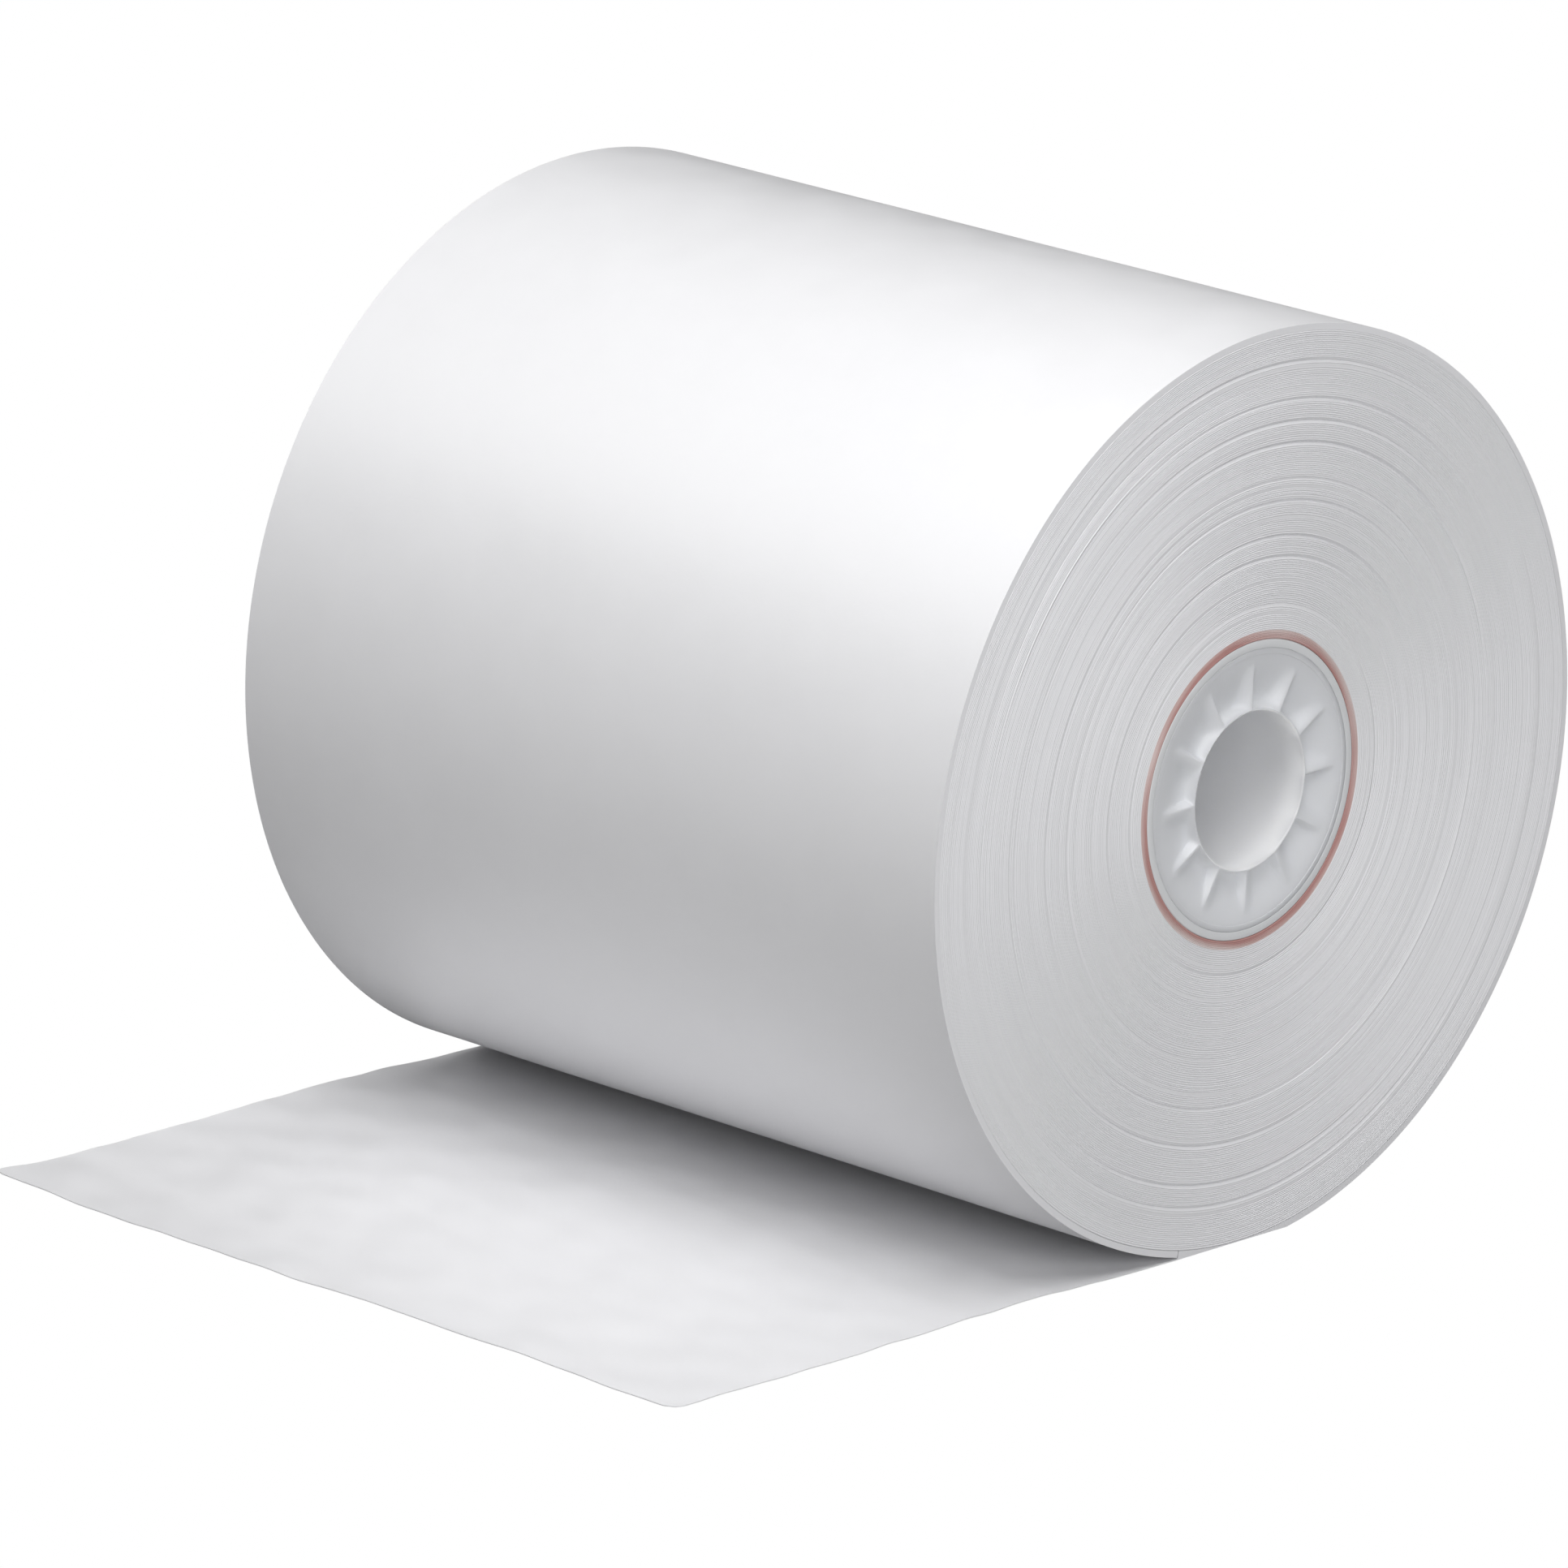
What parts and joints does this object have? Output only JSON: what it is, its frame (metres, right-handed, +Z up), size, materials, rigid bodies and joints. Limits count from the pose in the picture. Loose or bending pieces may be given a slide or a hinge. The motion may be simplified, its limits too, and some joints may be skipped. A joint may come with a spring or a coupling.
{
  "type": "receipt paper roll",
  "caption": "Short fat roll of white single-ply paper on a hollow ribbed plastic core, with its free end laid out flat from under the roll.",
  "frame": {"origin": "on the axis of the core's spindle bore, midway between the core's two ends", "axes": "+X along the roll's axis, -Y the way the free end of the strip runs out on the table, +Z up"},
  "size_m": [0.0771, 0.1032, 0.0755],
  "materials": {
    "white_paper": "smooth uncoated bond paper, faintly mottled, with fine layer lines on the wound ends",
    "red_paper": "the same paper with a red end-of-roll stripe printed along both edges",
    "core_plastic": "natural translucent polypropylene, satin as moulded",
    "adhesive": "dried line of glue"
  },
  "bodies": {
    "outer_turn": {"outermost_turn": "white_paper", "fed_sheet": "white_paper"},
    "winding": {"core_tube": "core_plastic", "end_plug_near": "core_plastic", "end_plug_far": "core_plastic", "tack_strip": "adhesive", "start_wraps": "white_paper", "red_margin_near": "red_paper", "red_margin_far": "red_paper", "inner_wraps": "white_paper", "winding_band_1": "white_paper", "winding_band_2": "white_paper", "winding_band_3": "white_paper", "winding_band_4": "white_paper"},
    "tail": {"tail_sheet": "white_paper"},
    "tip": {"tail_tip": "white_paper"}
  },
  "joints": [
    {"name": "roll_turn", "type": "hinge", "parent": "outer_turn", "child": "winding", "pos_m": [0, 0, 0], "axis": [-1, 0, 0], "range_deg": [0, 360]},
    {"name": "tail_feed", "type": "slide", "parent": "outer_turn", "child": "tail", "axis": [0, -1, 0], "range_m": [0, 0.2388], "deforming": ["fed_sheet"]},
    {"name": "tail_lift", "type": "hinge", "parent": "tail", "child": "tip", "pos_m": [0, -0.045, -0.03744], "axis": [-1, 0, 0], "range_deg": [0, 80]}
  ],
  "couplings": [
    {"joint": "tail_feed", "follows": "roll_turn", "m_per_rad": 0.038}
  ]
}
